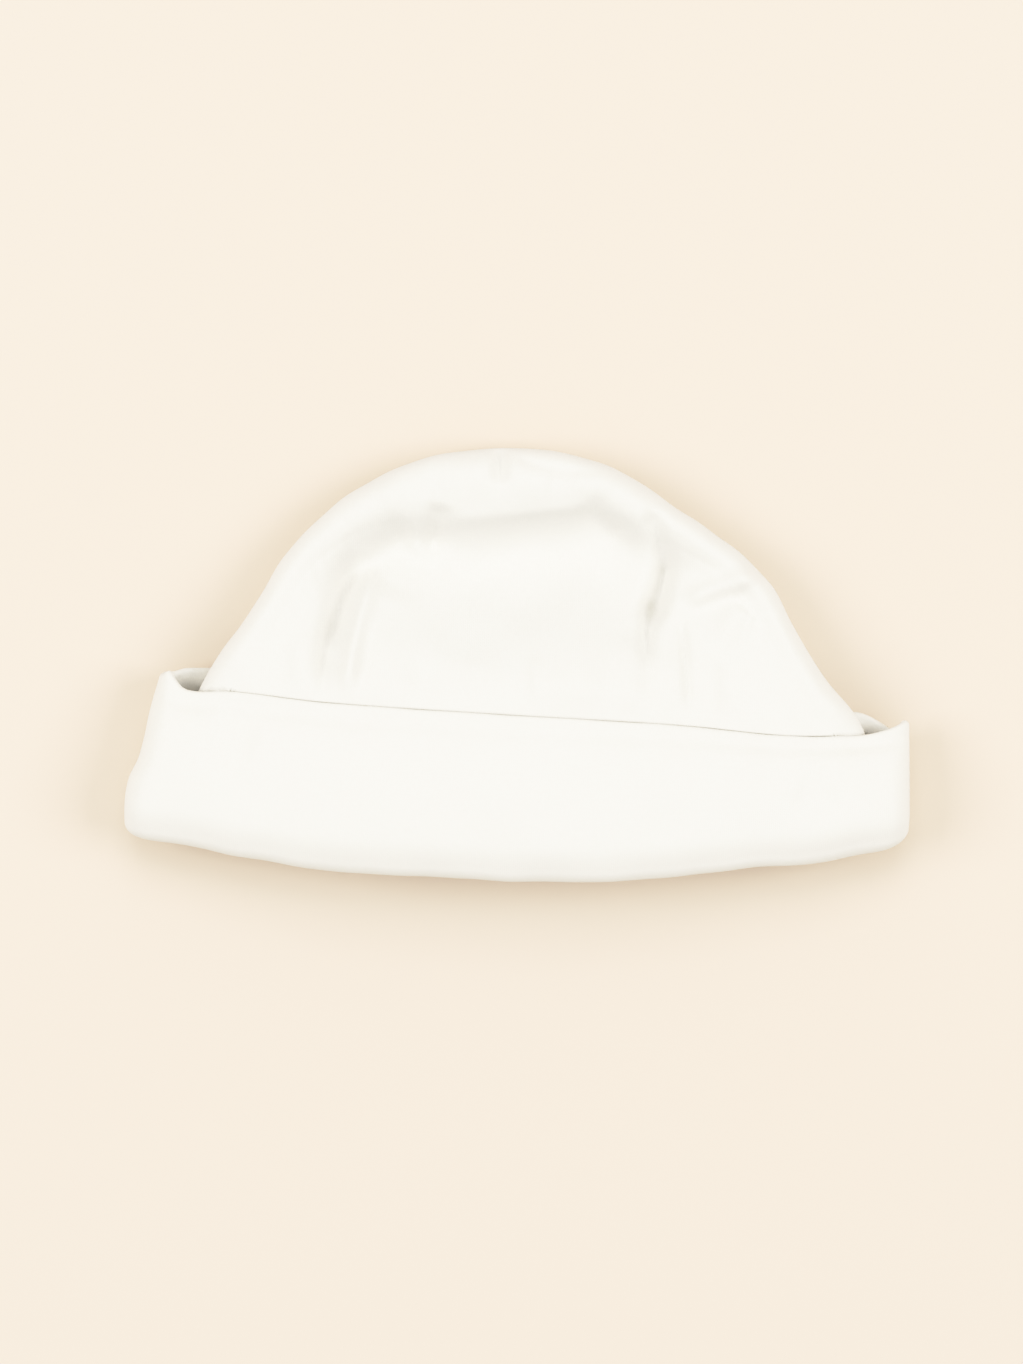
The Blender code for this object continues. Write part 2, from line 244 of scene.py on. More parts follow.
# Folds of the crown's front, each along a curve through three points.
# Columns: x and y of the upper end, the middle and the lower end (shares of half the width and half
# the length), half breadth (mm), height (mm), sharpness (2 is a soft bell, 1 a crease).
CROWN_FOLDS = [
    (-0.405, 0.540, -0.448, 0.280, -0.478, 0.040, 2.8, -4.6, 1.8),
    (-0.466, 0.240, -0.490, 0.000, -0.480, -0.260, 1.3, -1.7, 1.5),
    (-0.350, 0.500, -0.403, 0.150, -0.440, -0.240, 2.0, 1.9, 1.9),
    (-0.378, 0.240, -0.388, 0.000, -0.402, -0.200, 1.6, -0.9, 1.6),
    (-0.540, 0.160, -0.540, -0.010, -0.545, -0.240, 3.0, 1.0, 2.0),
    (-0.270, 0.670, -0.335, 0.530, -0.415, 0.390, 3.6, -3.2, 1.9),
    (-0.260, 0.560, -0.300, 0.440, -0.335, 0.280, 4.8, -1.7, 2.0),
    (-0.192, 0.740, -0.206, 0.640, -0.226, 0.480, 2.4, -3.0, 1.8),
    (0.170, 0.770, 0.222, 0.660, 0.275, 0.550, 2.6, -2.2, 1.7),
    (0.336, 0.710, 0.358, 0.590, 0.376, 0.440, 1.9, -2.8, 1.6),
    (0.385, 0.540, 0.368, 0.340, 0.330, 0.160, 2.5, -4.9, 1.7),
    (0.345, 0.320, 0.330, 0.160, 0.334, -0.040, 1.7, -2.6, 1.6),
    (0.410, 0.460, 0.392, 0.300, 0.366, 0.140, 1.8, 0.9, 1.9),
    (0.640, 0.350, 0.500, 0.286, 0.408, 0.200, 2.8, -0.8, 2.0),
    (0.640, 0.406, 0.510, 0.346, 0.420, 0.270, 2.3, 2.2, 2.0),
    (0.575, 0.270, 0.545, 0.190, 0.500, 0.020, 3.2, 1.5, 2.0),
    (0.414, 0.240, 0.426, 0.000, 0.434, -0.300, 1.0, -1.3, 1.5),
    (0.285, 0.160, 0.285, -0.050, 0.283, -0.320, 3.0, 1.1, 2.0),
    (0.490, 0.020, 0.495, -0.120, 0.500, -0.300, 2.0, 0.6, 2.0),
    (0.740, -0.020, 0.745, -0.140, 0.750, -0.320, 2.4, 0.7, 2.0),
    (0.170, 0.680, 0.160, 0.100, 0.160, -0.560, 9.0, 1.2, 2.1),
    (-0.170, 0.640, -0.170, 0.120, -0.170, -0.420, 8.0, -1.1, 2.0),
    (0.045, 0.040, 0.047, -0.080, 0.050, -0.300, 1.6, 0.5, 2.0),
    (-0.110, 0.040, -0.115, -0.080, -0.120, -0.300, 2.0, 0.4, 2.0),
    (-0.043, 1.020, -0.043, 0.930, -0.046, 0.800, 1.7, -2.6, 1.7),
    (-0.020, 0.975, 0.085, 0.895, 0.230, 0.880, 1.5, -1.0, 1.7),
]

# Soft dents and swellings of the turn-up's front, in the same columns.
TURN_UP_DENTS = [
    (-0.780, -0.300, -0.720, -0.350, -0.640, -0.400, 5.6, -1.2, 2.0),
    (0.690, -0.570, 0.760, -0.610, 0.850, -0.640, 3.6, -0.9, 2.0),
    (-0.330, -0.585, -0.110, -0.605, 0.100, -0.626, 8.4, 0.35, 2.0),
    (0.300, -0.746, 0.390, -0.736, 0.480, -0.726, 4.7, -0.3, 2.0),
]

# Folds: how far each reaches in breadths, the share of its length over which its ends fade, and what
# is left of it there
FOLD_REACH = 3.5
FOLD_TAPER = 0.30
FOLD_END = 0.15
FOLD_STEPS = 25

# The cloth's small unevenness: the seam's and the fold's lines, ripples, the rim's waves, and puckers
# along the seam and gathers above the rim.
# Columns: height, shortest and longest wave.
SEAM_WANDER = (0.8e-4, 0.010, 0.028)
FOLD_WANDER = (1.5e-4, 0.010, 0.030)
TURN_UP_RIPPLES = (1.0e-4, 0.012, 0.030)
RIM_RIPPLES = (1.2e-4, 0.009, 0.024)
CROWN_RIPPLES = (1.6e-4, 0.009, 0.024)
SEAM_PUCKER = (1.1e-4, 0.0035, 0.010)
RIM_GATHERS = (1.8e-4, 0.006, 0.016)
SEED = 11

# Where the puckers and gathers lie: distance from the seam or the rim, and half breadth. The puckers
# fade over the last quarter of the seam at each foot.
PUCKER_PLACE = (0.006, 0.005)
GATHER_PLACE = (0.004, 0.008)
PUCKER_FADE = 0.25

# Grid counts
SEAM_STEPS = 280
FLANGE_STEPS = 4
CURL_STEPS = 8
ROLL_STEPS = 16
FRONT_STEPS = 130
BACK_SEAM_STEPS = 260
BACK_STEPS = 60
BAND_SIDE_STEPS = 170
BAND_END_STEPS = 14
BAND_FOLD_STEPS = 14
BAND_INNER_STEPS = 30
BAND_OUTER_STEPS = 64
EDGE_STEPS = 6

# The panels' rows crowd towards the rim: the shares of a ray between which it is crossed, how far
# short of the rim the crowding aims, the share of the rows that lie before it, and how much they crowd
RIM_CROSSING = (0.10, 0.90)
RIM_NIP = 0.00020
SHOWN_STEPS = 0.75
STEP_CROWDING = 1.3
RAY_SAMPLES = 3000

# The panels' inner side is eased from this row on, and their round lower edge flattens over these
# columns at each corner to this share
EASED_FROM_ROW = FLANGE_STEPS + CURL_STEPS + ROLL_STEPS + 10
EASING_ROUNDS = 80
CORNER_COLUMNS = 10
CORNER_FULLNESS = 0.15


def through(stations, values, at):
    """A smooth curve through a table's rows: cubics whose end slopes are weighted means of the
    chords on either side."""
    stations = np.asarray(stations, float)
    values = np.asarray(values, float)
    steps = np.diff(stations)
    chords = np.diff(values) / steps
    chords = np.concatenate([chords[:1], chords, chords[-1:]])
    weights = np.concatenate([steps[:1], steps, steps[-1:]])
    slopes = (chords[:-1] * weights[1:] + chords[1:] * weights[:-1]) / (weights[1:] + weights[:-1])
    at = np.clip(at, stations[0], stations[-1])
    span = np.clip(np.searchsorted(stations, at) - 1, 0, len(steps) - 1)
    share = (at - stations[span]) / steps[span]
    rest = 1 - share
    start = (1 + 2 * share) * values[span] + share * steps[span] * slopes[span]
    end = (1 + 2 * rest) * values[span + 1] - rest * steps[span] * slopes[span + 1]
    return rest**2 * start + share**2 * end


def column(table, number):
    """One column of a table."""
    return [row[number] for row in table]


def smoothstep(value):
    """0 below 0, 1 above 1, and an S-shaped rise between."""
    value = np.clip(value, 0.0, 1.0)
    return value * value * (3 - 2 * value)


def mix(first, second, share):
    """The value that lies this share of the way from the first to the second."""
    return first + (second - first) * share


def line_across(table, x):
    """The y of a line of the plan, such as the rim, at each x."""
    return HALF_LENGTH * through(column(table, 0), column(table, 1), x / HALF_WIDTH)


def section_value(number, height):
    """One column of the turn-up's sections at a share of its height."""
    return through(column(TURN_UP_SECTIONS, 0), column(TURN_UP_SECTIONS, number), height)


def turn_up_top(x, height):
    """Height of the turn-up's outside above the table: a gentle dome from end to end."""
    middle = CAP_THICKNESS * section_value(5, height)
    ends = CAP_THICKNESS * section_value(6, height)
    return mix(ends, middle, np.clip(1 - (x / HALF_WIDTH) ** 2, 0, 1))


def turn_up_height(x, y):
    """The share of the turn-up's height at a place on its front, 0 at the fold and 1 at the rim."""
    rim = line_across(RIM_LINE, x) - BAND_WALL / 2
    fold = line_across(FOLD_LINE, x) + BAND_STACK / 2
    return np.clip((y - fold) / (rim - fold), 0, 1)


def between(value, stretch):
    """An S-shaped rise from 0 at the stretch's first place to 1 at its second."""
    return smoothstep((value - stretch[0]) / (stretch[1] - stretch[0]))


def bell(value, place):
    """exp(-((value - middle) / half breadth) ^ 2)."""
    return np.exp(-(((value - place[0]) / place[1]) ** 2))


def waves(along, seed, size, count=9):
    """A random wavy line of a given height: a sum of sines between two wavelengths."""
    height, shortest, longest = size
    draw = np.random.default_rng(seed)
    lengths = draw.uniform(shortest, longest, count)
    phases = draw.uniform(0, 2 * math.pi, count)
    total = sum(np.sin(2 * math.pi * along / wave + phase) for wave, phase in zip(lengths, phases))
    return height * total * math.sqrt(2 / count)


def ripples(x, y, seed, size, count=14):
    """A random gently rippled surface of a given height: a sum of plane waves."""
    height, shortest, longest = size
    draw = np.random.default_rng(seed)
    total = np.zeros_like(x)
    for wave, phase, turn in zip(
        draw.uniform(shortest, longest, count),
        draw.uniform(0, 2 * math.pi, count),
        draw.uniform(0, math.pi, count),
    ):
        across = x * math.cos(turn) + y * math.sin(turn)
        total += np.sin(2 * math.pi * across / wave + phase)
    return height * total * math.sqrt(2 / count)


def fold_relief(table, x, y):
    """The sum of a table's folds: height times exp(-(distance to the curve / breadth) ^ sharpness),
    tapering towards both ends of each curve."""
    relief = np.zeros_like(x)
    steps = np.linspace(0, 1, FOLD_STEPS)
    for x0, y0, x1, y1, x2, y2, breadth, height, sharpness in table:
        start, middle, end = (
            np.array((px * HALF_WIDTH, py * HALF_LENGTH)) for px, py in ((x0, y0), (x1, y1), (x2, y2))
        )
        bend = 2 * middle - (start + end) / 2
        curve = (
            ((1 - steps) ** 2)[:, None] * start
            + (2 * steps * (1 - steps))[:, None] * bend
            + (steps**2)[:, None] * end
        )
        breadth_m = breadth * 1e-3
        reach = FOLD_REACH * breadth_m
        low, high = curve.min(0) - reach, curve.max(0) + reach
        near = (x > low[0]) & (x < high[0]) & (y > low[1]) & (y < high[1])
        px, py = x[near], y[near]
        best = np.full(px.shape, 1e9)
        place = np.zeros(px.shape)
        for number in range(len(steps) - 1):
            a, b = curve[number], curve[number + 1]
            span = b - a
            along = ((px - a[0]) * span[0] + (py - a[1]) * span[1]) / (span @ span)
            along = np.clip(along, 0, 1)
            gap = np.hypot(px - a[0] - along * span[0], py - a[1] - along * span[1])
            closer = gap < best
            best = np.where(closer, gap, best)
            place = np.where(closer, (number + along) / (len(steps) - 1), place)
        taper = mix(FOLD_END, 1.0, smoothstep(np.minimum(place, 1 - place) / FOLD_TAPER))
        relief[near] += height * 1e-3 * taper * np.exp(-((best / breadth_m) ** sharpness))
    return relief


def seam_path(count):
    """Evenly spaced points of the crown's seam in plan, the inward direction at each, and the share
    of the seam's length up to it. The first and last directions run along the lower edge."""
    corners = np.array(SEAM_LINE) * (HALF_WIDTH, HALF_LENGTH)
    reach = np.concatenate([[0], np.cumsum(np.linalg.norm(np.diff(corners, axis=0), axis=1))])
    fine = np.linspace(0, reach[-1], 20 * count + 1)
    curve = np.stack([through(reach, corners[:, axis], fine) for axis in (0, 1)], axis=1)
    length = np.concatenate([[0], np.cumsum(np.linalg.norm(np.diff(curve, axis=0), axis=1))])
    share = np.linspace(0, 1, count + 1)
    path = np.stack([np.interp(share, length / length[-1], curve[:, axis]) for axis in (0, 1)], axis=1)
    along = np.gradient(path, axis=0)
    across = np.stack([along[:, 1], -along[:, 0]], axis=1)
    across /= np.linalg.norm(across, axis=1)[:, None]
    lower_edge = path[-1] - path[0]
    lower_edge /= np.linalg.norm(lower_edge)
    level = np.where(share[:, None] < 0.5, lower_edge, -lower_edge)
    inward = mix(level, across, smoothstep(np.minimum(share, 1 - share) / SEAM_LEVELS)[:, None])
    inward /= np.linalg.norm(inward, axis=1)[:, None]
    uneven = smoothstep((np.minimum(share, 1 - share) - SEAM_LEVELS) / SEAM_LEVELS)
    wander = uneven * waves(share * length[-1], SEED, SEAM_WANDER)
    return path + inward * wander[:, None], inward, share, length[-1]


def ridge_relief(share, distance):
    """The puffed seam ridge and the hollow beside it, from the distance in from the seam: a half
    sine, then a steep lip of 1 - exp(-distance / lip) and a long fall of 1 - (1 - distance /
    reach)^2, which fade towards the rim."""
    places = column(SEAM_RIDGE, 0)
    width = CAP_LENGTH * through(places, column(SEAM_RIDGE, 1), share)
    height = CAP_THICKNESS * through(places, column(SEAM_RIDGE, 2), share)
    depth = CAP_THICKNESS * through(places, column(SEAM_RIDGE, 3), share)
    softness = 1e-3 * through(places, column(SEAM_RIDGE, 4), share)
    reach = 1e-3 * through(places, column(SEAM_RIDGE, 5), share)
    puff = height * np.sin(math.pi * np.clip(distance / width, 0, 1))
    past = softness * np.logaddexp(0, (distance - width) / softness)
    lip = 1 - np.exp(-past / LIP_FALL)
    fall = mix(1 - (1 - np.clip(past / reach, 0, 1)) ** 2, lip, LIP_SHARE)
    return puff - depth * fall * (1 - smoothstep((past - reach) / HOLLOW_FADE))


def turn_up_ripples(x, y, height):
    """How far the turn-up's front stands off its smooth shape: ripples, and a wavy lift that grows
    with the fourth power of the height towards the rim."""
    lift = RIM_RIPPLES[0] + waves(x, SEED + 5, RIM_RIPPLES)
    return ripples(x, y, SEED + 4, TURN_UP_RIPPLES) + height**4 * lift


def crown_top(x, y, share, distance, seam_length):
    """Height of the front panel's outside: it follows the inner leg under the turn-up, comes up close
    behind the rim and sinks towards the crown's top. Ridge, hollow, folds and ripples are added."""
    beyond = y - line_across(RIM_LINE, x)
    share_up = turn_up_height(x, y)
    band = turn_up_top(x, share_up) + turn_up_ripples(x, y, share_up)
    band = band + np.minimum(fold_relief(TURN_UP_DENTS, x, y), 0)
    lapped = band - BAND_STACK - PIECE_GAP - LAP_SLACK
    tucked = band - 1e-3 * through(column(RIM_TUCK, 0), column(RIM_TUCK, 1), beyond * 1e3)
    spread = np.clip(1 - (x / HALF_WIDTH) ** 2, 0, 1)
    sunk = CAP_THICKNESS * mix(SUNK_SIDE, SUNK_MIDDLE, spread)
    freed = between(beyond, RISE_FROM_LAP)
    sinking = smoothstep(beyond / (SINK_REACH * CAP_LENGTH))
    height = mix(lapped, mix(tucked, sunk, sinking), freed)
    relief = ridge_relief(share, distance) + fold_relief(CROWN_FOLDS, x, y)
    relief = relief + ripples(x, y, SEED + 1, CROWN_RIPPLES)
    pucker = waves(share * seam_length, SEED + 2, SEAM_PUCKER)
    from_feet = smoothstep(np.minimum(share, 1 - share) / PUCKER_FADE)
    relief = relief + from_feet * pucker * bell(distance, PUCKER_PLACE)
    relief = relief + waves(x, SEED + 3, RIM_GATHERS) * bell(beyond, GATHER_PLACE)
    return height + freed * between(beyond, RIM_CALM) * relief


def crown_bottom(x, y):
    """Height of the back panel's outside: flat on the table, and lifted over the band behind it."""
    beyond = y - line_across(RIM_LINE, x) - RIM_BACK_RISE
    return (BAND_STACK + PIECE_GAP + LAP_SLACK) * between(beyond, BACK_LIFT)


def ray_steps(path, foot, steps):
    """How far along each ray from the seam to the lower edge the rows lie. They crowd together
    towards the place where the ray passes under the rim."""
    fine = np.linspace(0, 1, RAY_SAMPLES)[:, None]
    x = mix(path[:, 0], foot[:, 0], fine)
    y = mix(path[:, 1], foot[:, 1], fine)
    crossing = np.clip((y > line_across(RIM_LINE, x) - RIM_NIP).mean(axis=0), *RIM_CROSSING)
    shown = round(steps * SHOWN_STEPS)
    before = np.linspace(0, 1, shown + 1)[1:, None]
    after = np.linspace(0, 1, steps - shown + 1)[1:, None]
    return np.concatenate(
        [
            crossing * (1 - (1 - before) ** STEP_CROWDING),
            crossing + (1 - crossing) * after**STEP_CROWDING,
        ]
    )


def panel_points(count, steps, roll, back):
    """The outside of one crown panel and its flat pattern, as rows from the tip of the seam allowance
    to the lower edge. Each column is the flat allowance, a quarter turn of curl, a rounded rise to
    the panel's height, and a run to the lower edge."""
    path, inward, share, seam_length = seam_path(count)
    side = -1.0 if back else 1.0
    from_end = np.minimum(share, 1 - share)
    seam = mix(SEAM_HEIGHT_FOOT, SEAM_HEIGHT_TOP, smoothstep(from_end / SEAM_SINKS))
    seam = seam + side * PIECE_GAP / 2
    foot = mix(path[0], path[-1], mix(*RAYS_END, share)[:, None])
    rows = []
    for step in range(FLANGE_STEPS):
        distance = SEAM_CURL + SEAM_ALLOWANCE * (1 - step / FLANGE_STEPS)
        rows.append((path + inward * distance, seam))
    for step in range(CURL_STEPS + 1):
        angle = math.pi / 2 * step / CURL_STEPS
        plan = path + inward * SEAM_CURL * (1 - math.sin(angle))
        rows.append((plan, seam + side * SEAM_CURL * (1 - math.cos(angle))))
    rolled_in = path + inward * roll
    along_ray = ray_steps(rolled_in, foot, steps)
    for step in range(1, ROLL_STEPS + steps + 1):
        angle = math.pi / 2 * min(step / ROLL_STEPS, 1.0)
        plan = path + inward * roll * (1 - max(math.cos(angle), 0.0) ** (2 / 3))
        if step > ROLL_STEPS:
            plan = mix(rolled_in, foot, along_ray[step - ROLL_STEPS - 1][:, None])
        distance = np.linalg.norm(plan - path, axis=1)
        x, y = plan.T
        if back:
            target = crown_bottom(x, y)
        else:
            target = crown_top(x, y, share, distance, seam_length)
        rows.append((plan, mix(seam + side * SEAM_CURL, target, math.sin(angle))))
    points = np.array([np.column_stack(row) for row in rows])
    rolled = FLANGE_STEPS + CURL_STEPS + ROLL_STEPS
    pattern = points[..., :2].copy()
    for row in range(rolled, 0, -1):
        travel = np.linalg.norm(points[row] - points[row - 1], axis=1)
        pattern[row - 1] = pattern[row] - inward * travel[:, None]
    return points, pattern


def ring(left, right, top, bottom, softness):
    """One ring of the band seen along the cap: x, z, and the share of the way from back to front.

    It starts at the right end, goes over the top to the left end and returns underneath. Each end
    rises as sin(angle) over end roll times (1 - cos(angle) ^ softness)."""
    angles = np.linspace(0, math.pi / 2, BAND_END_STEPS + 1)
    roll = BAND_END_ROLL * (1 - np.clip(np.cos(angles), 0, 1) ** softness)
    flat = np.linspace(right - BAND_END_ROLL, BAND_END_ROLL - left, BAND_SIDE_STEPS + 1)[1:-1]
    x = np.concatenate([right - roll, flat, roll[::-1] - left])
    lift = np.concatenate([np.sin(angles), np.ones_like(flat), np.sin(angles[::-1])])
    over = mix(SEAM_HEIGHT_FOOT, top(x), lift)
    under = mix(SEAM_HEIGHT_FOOT, bottom, lift)
    return (
        np.concatenate([x, x[-2:0:-1]]),
        np.concatenate([over, under[-2:0:-1]]),
        np.concatenate([0.5 + 0.5 * lift, 0.5 - 0.5 * lift[-2:0:-1]]),
    )


def band_ring(height, inner, drop=0.0):
    """One ring of the band at a share of its height. An inner share of 1 is the inner leg, 0 the
    outside. The front droops towards the fold and has dents and ripples, the front rim's tips stand
    up and the back rim's ends are lifted."""
    left = HALF_WIDTH * mix(section_value(1, height), section_value(3, height), inner)
    right = HALF_WIDTH * mix(section_value(2, height), section_value(4, height), inner)
    inset = BAND_STACK * inner
    softness = mix(*END_FULLNESS, inner)
    x, z, front = ring(left, right, lambda at: turn_up_top(at, height) - inset, inset, softness)
    out = np.abs(x) / HALF_WIDTH
    rise = RIM_BACK_RISE * (1 - between(out, RIM_BACK_FADE))
    rim = line_across(RIM_LINE, x) + rise * (1 - front) - BAND_WALL / 2
    fold = line_across(FOLD_LINE, x) + FOLD_BACK_RISE * (1 - front) + BAND_STACK / 2
    tips = HALF_LENGTH * through(column(RIM_TIPS, 0), column(RIM_TIPS, 1), x / HALF_WIDTH)
    y = mix(fold, rim, height) - drop + tips * height**TIP_POWER * smoothstep(2 * front)
    shown = smoothstep(2 * front - 1)
    from_edge = np.clip((y - line_across(FOLD_LINE, x)) / DROOP_REACH, 0, 1)
    z -= FOLD_DROOP * shown * (1 - from_edge) ** 2
    z += fold_relief(TURN_UP_DENTS, x, y) * shown
    lift_from = np.where(x < 0, *END_LIFT_FROM)
    lifted = smoothstep((out - lift_from) / (1 - lift_from) / END_LIFT_RUN)
    lifted = lifted * between(height, END_LIFT_HEIGHTS) * (1 - inner)
    z += END_LIFT * lifted * smoothstep(1 - 2 * front)
    if inner < 1:
        soft = (1 - inner) * shown
        z += soft * turn_up_ripples(x, y, height)
        y += soft * (1 - height) ** 3 * waves(x, SEED + 7, FOLD_WANDER)
    return np.stack([x, y, z], axis=1)


def band_points():
    """The band's outer side and its flat pattern, as rings from its hidden edge down the inner leg,
    round the fold and up to the rim."""
    down_inside = np.linspace(INNER_LEG_TOP, 0, BAND_INNER_STEPS + 1)[:-1]
    up_outside = np.linspace(0, 1, BAND_OUTER_STEPS + 1)[1:]
    rings = [band_ring(height, 1.0) for height in down_inside]
    for step in range(BAND_FOLD_STEPS + 1):
        angle = math.pi * step / BAND_FOLD_STEPS
        rings.append(band_ring(0.0, (1 + math.cos(angle)) / 2, BAND_STACK / 2 * math.sin(angle)))
    rings += [band_ring(height, 0.0) for height in up_outside]
    points = np.array(rings)
    around = np.linalg.norm(np.roll(points[-1], -1, axis=0) - points[-1], axis=1)
    around = np.concatenate([[0], np.cumsum(around)[:-1]])
    down = np.linalg.norm(np.diff(points, axis=0), axis=2).mean(axis=1)
    down = np.concatenate([[0], np.cumsum(down)])
    return points, np.stack(np.meshgrid(around, down), axis=-1)


def grid_normals(points, closed):
    """Unit normals of a grid surface, pointing to the side from which columns run to the right as
    rows run down."""
    if closed:
        across = np.roll(points, -1, axis=1) - np.roll(points, 1, axis=1)
    else:
        across = np.gradient(points, axis=1)
    down = np.gradient(points, axis=0)
    normals = np.cross(down, across)
    return normals / np.linalg.norm(normals, axis=2)[..., None]


def eased(normals, first, rounds):
    """Normals averaged with their neighbours down the rows, from one row on, so that the inner side
    of a tight bend stays clear of itself."""
    normals = normals.copy()
    for _ in range(rounds):
        means = (normals[first - 1 : -2] + 2 * normals[first:-1] + normals[first + 1 :]) / 4
        normals[first:-1] = means / np.linalg.norm(means, axis=2)[..., None]
    return normals


def round_edge(outer, inner, toward, fullness, thickness):
    """Rows round an edge of the cloth: a half circle from the outer row to the inner one, that bulges
    the way it is given, times each column's fullness."""
    turns = np.linspace(0, math.pi, EDGE_STEPS + 1)[1:-1]
    out = toward * (fullness / np.linalg.norm(toward, axis=1))[:, None]
    return [
        (outer + inner + math.cos(turn) * (outer - inner) + math.sin(turn) * thickness * out) / 2
        for turn in turns
    ]


def end_faces(index, rows):
    """Faces that close the first and last columns of an open piece: a strip between the outer and the
    inner side, and one face over each half circle."""
    back = rows + EDGE_STEPS - 1
    faces = []
    for place, turned in ((0, False), (-1, True)):
        ring = index[:, place].tolist()
        ends = [
            [ring[row], ring[row + 1], ring[back + rows - 2 - row], ring[back + rows - 1 - row]]
            for row in range(rows - 1)
        ]
        ends += [ring[rows - 1 : back + 1], ring[back + rows - 1 :]]
        faces += [end[::-1] if turned else end for end in ends]
    return faces


def cloth_piece(name, points, pattern, closed, thickness, material, nodes):
    """A closed piece of cloth over a grid of points, which give its outer side. The inner side lies
    one thickness in along the normals, and half circles close the first and last rows. Its UV map is
    the flat pattern in millimetres."""
    rows, columns, _ = points.shape
    normals = grid_normals(points, closed)
    fullness = np.ones(columns)
    if not closed:
        normals = eased(normals, EASED_FROM_ROW, EASING_ROUNDS)
        from_corner = np.minimum(np.arange(columns), np.arange(columns)[::-1])
        fullness = mix(CORNER_FULLNESS, 1.0, smoothstep(from_corner / CORNER_COLUMNS))
    inside = points - thickness * normals
    last_edge = round_edge(points[-1], inside[-1], points[-1] - points[-2], fullness, thickness)
    first_edge = round_edge(points[0], inside[0], points[0] - points[1], fullness, thickness)
    loop = np.concatenate([points, last_edge, inside[::-1], first_edge[::-1]])
    last_flat = [pattern[-1]] * len(last_edge)
    first_flat = [pattern[0]] * len(first_edge)
    flat = np.concatenate([pattern, last_flat, pattern[::-1], first_flat])
    index = np.arange(len(loop) * columns).reshape(len(loop), columns)
    index = np.concatenate([index, index[:1]])
    if closed:
        index = np.concatenate([index, index[:, :1]], axis=1)
    quads = np.stack([index[:-1, 1:], index[:-1, :-1], index[1:, :-1], index[1:, 1:]], axis=-1)
    faces = quads.reshape(-1, 4).tolist()
    if not closed:
        faces += end_faces(index, rows)
    mesh = bpy.data.meshes.new(name)
    mesh.from_pydata(loop.reshape(-1, 3).tolist(), [], faces)
    layer = mesh.uv_layers.new(name="UVMap")
    corners = np.empty(len(mesh.loops), np.int32)
    mesh.loops.foreach_get("vertex_index", corners)
    layer.data.foreach_set("uv", (flat.reshape(-1, 2)[corners] * 1000).ravel().astype(np.float32))
    mesh.shade_smooth()
    mesh.materials.append(material)
    mesh.validate()
    item = bpy.data.objects.new(name, mesh)
    bpy.context.scene.collection.objects.link(item)
    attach(item, "root")
    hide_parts(*nodes)
    return item


def linear(hex_colour):
    """A colour in linear light from its sRGB hex code."""
    values = [int(hex_colour[place : place + 2], 16) / 255 for place in (1, 3, 5)]
    return [v / 12.92 if v <= 0.04045 else ((v + 0.055) / 1.055) ** 2.4 for v in values] + [1.0]


def add_node(tree, kind, inputs=None, **settings):
    """A shader node with its settings. Each input is a value, a socket, or a node that gives its
    first output."""
    node = tree.nodes.new(kind)
    for key, value in settings.items():
        setattr(node, key, value)
    for key, value in (inputs or {}).items():
        if isinstance(value, bpy.types.Node):
            value = value.outputs[0]
        if isinstance(value, bpy.types.NodeSocket):
            tree.links.new(value, node.inputs[key])
        else:
            node.inputs[key].default_value = value
    return node


# Cotton jersey, knitted in white yarn, washed and not pressed. It gives the eye a matt, nearly
# shadowless white with a soft fuzz, and fine rows only close up. The stitches are drawn a little
# coarser than such jersey's 0.7 by 0.5 mm, so that they show.
JERSEY_COLOUR = "#e0ddd6"
JERSEY_ROUGHNESS = 0.92
JERSEY_SPECULAR = 0.15
JERSEY_SHEEN = 0.12
JERSEY_SHEEN_ROUGHNESS = 0.6
WALE_MM = 0.85
COURSE_MM = 0.62
STITCH_RELIEF_MM = 0.05
STITCH_STRENGTH = 0.5
STITCH_LEAN = 1.3
STITCH_SHARE = 0.6
WANDER_PER_MM = 0.35
WANDER_MM = 0.5
FUZZ_PER_MM = 4.0
FUZZ_SHARE = 0.5
MOTTLE_PER_MM = 0.9
MOTTLE_RANGE = (0.3, 0.7)
MOTTLE_DARKEST = 0.985


